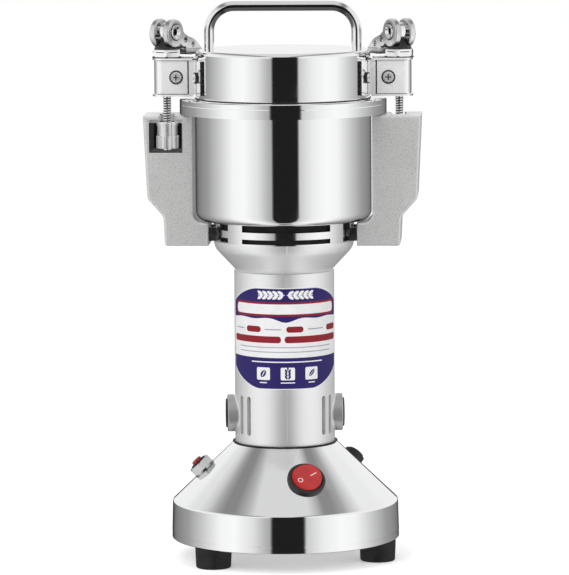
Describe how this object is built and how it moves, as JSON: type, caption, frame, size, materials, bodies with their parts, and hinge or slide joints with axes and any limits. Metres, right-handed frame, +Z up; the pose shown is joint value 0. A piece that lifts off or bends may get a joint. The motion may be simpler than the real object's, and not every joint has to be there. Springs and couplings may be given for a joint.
{
  "type": "electric grain mill",
  "caption": "High-speed blade mill: clamped steel lid on a round bowl, held by two cast brackets with cam levers, over a slim motor column on a flared base.",
  "frame": {"origin": "centre of the circle of feet, on the surface that the mill stands on", "axes": "+Z up along the motor axis, +X to the right clamp bracket, -Y to the front, where the switch is"},
  "size_m": [0.1666, 0.1378, 0.337],
  "materials": {
    "polished_stainless": "mirror polished stainless sheet",
    "cast_bracket": "pebbled casting with bright rounded edges",
    "motor_tube": "satin machined casting",
    "steel": "plain turned steel",
    "lever_metal": "die-cast, lightly polished",
    "fastener_steel": "bright plated",
    "black_steel": "black oxide",
    "foot_rubber": "matt black",
    "silicone": "soft translucent white",
    "black_plastic": "matt black moulding",
    "red_plastic": "glossy red moulding",
    "motor_steel": "laminated sheet",
    "copper_wire": "enamelled copper wire",
    "carbon": "pressed carbon"
  },
  "bodies": {
    "mill": {"bowl": "polished_stainless", "bowl_screws": "fastener_steel", "shaft_seal": "silicone", "bracket_left": "cast_bracket", "bracket_right": "cast_bracket", "bracket_bolts": "black_steel", "bracket_spacers": "black_steel", "motor_housing": "motor_tube", "fan_housing": "motor_tube", "base_gasket": "foot_rubber", "bearing_bridges": "motor_tube", "bearing_outer_rings": "steel", "stator_core": "motor_steel", "field_windings": "copper_wire", "brush_holders": "black_plastic", "carbon_brushes": "carbon", "brush_springs": "steel", "brush_caps": "black_plastic", "base_cover": "polished_stainless", "base_plate": "steel", "rubber_feet": "foot_rubber", "base_screws": "fastener_steel", "support_posts": "steel", "switch_housing": "black_plastic", "reset_nut": "fastener_steel", "reset_breaker": "black_plastic", "fuse_holder": "black_plastic", "cord_gland": "black_plastic"},
    "lid": {"lid_shell": "polished_stainless", "lid_gasket": "silicone", "lid_handle": "polished_stainless", "ear_left": "polished_stainless", "ear_right": "polished_stainless", "ear_caps": "polished_stainless", "lid_fasteners": "fastener_steel", "clamp_nut_left": "fastener_steel", "clamp_nut_right": "fastener_steel"},
    "rod_left": {"clamp_rod_left": "fastener_steel", "cam_seat_left": "black_plastic"},
    "rod_right": {"clamp_rod_right": "fastener_steel", "cam_seat_right": "black_plastic"},
    "lever_left": {"cam_lever_left": "lever_metal", "lever_pin_left": "fastener_steel"},
    "lever_right": {"cam_lever_right": "lever_metal", "lever_pin_right": "fastener_steel"},
    "nut_left": {"knurled_nut_left": "fastener_steel"},
    "nut_right": {"knurled_nut_right": "fastener_steel"},
    "rotor": {"shaft": "steel", "armature_core": "motor_steel", "armature_windings": "copper_wire", "commutator": "copper_wire", "cooling_fan": "black_plastic", "bearing_inner_rings": "steel", "lower_blade": "steel", "upper_blade": "steel", "blade_spacer": "steel", "blade_nut": "fastener_steel"},
    "rocker": {"switch_rocker": "red_plastic"},
    "reset": {"reset_button": "red_plastic"},
    "fuse": {"fuse_cap": "black_plastic"}
  },
  "joints": [
    {"name": "lid_turn", "type": "hinge", "parent": "mill", "child": "lid", "pos_m": [0, 0, 0.279], "axis": [0, 0, 1], "range_deg": [0, 155]},
    {"name": "rod_turn_left", "type": "hinge", "parent": "lid", "child": "rod_left", "pos_m": [-0.0699, 0, 0.29], "axis": [0, 0, 1], "range_deg": [0, 150]},
    {"name": "rod_turn_right", "type": "hinge", "parent": "lid", "child": "rod_right", "pos_m": [0.0699, 0, 0.29], "axis": [0, 0, 1], "range_deg": [-150, 0]},
    {"name": "lever_left_turn", "type": "hinge", "parent": "rod_left", "child": "lever_left", "pos_m": [-0.0699, 0, 0.3186], "axis": [0.866, -0.5, 0], "range_deg": [0, 150]},
    {"name": "lever_right_turn", "type": "hinge", "parent": "rod_right", "child": "lever_right", "pos_m": [0.0699, 0, 0.3186], "axis": [0.866, 0.5, 0], "range_deg": [0, 150]},
    {"name": "nut_left_spin", "type": "hinge", "parent": "rod_left", "child": "nut_left", "pos_m": [-0.0699, 0, 0.257], "axis": [0, 0, 1], "continuous": true},
    {"name": "nut_right_spin", "type": "hinge", "parent": "rod_right", "child": "nut_right", "pos_m": [0.0699, 0, 0.257], "axis": [0, 0, 1], "continuous": true},
    {"name": "rotor_spin", "type": "hinge", "parent": "mill", "child": "rotor", "pos_m": [0, 0, 0.13], "axis": [0, 0, 1], "continuous": true},
    {"name": "switch_rock", "type": "hinge", "parent": "mill", "child": "rocker", "pos_m": [0.01515, -0.04747, 0.05458], "axis": [-0.5314, 0.5402, 0.6525], "range_deg": [0, 16]},
    {"name": "reset_push", "type": "slide", "parent": "mill", "child": "reset", "axis": [0.6934, 0.0363, -0.7196], "range_m": [0, 0.0016], "stiffness_N_per_m": 700, "springref_m": -0.001},
    {"name": "fuse_cap_turn", "type": "hinge", "parent": "mill", "child": "fuse", "pos_m": [0.03808, 0.03084, 0.05372], "axis": [0.5396, 0.437, 0.7196], "range_deg": [0, 90]}
  ]
}
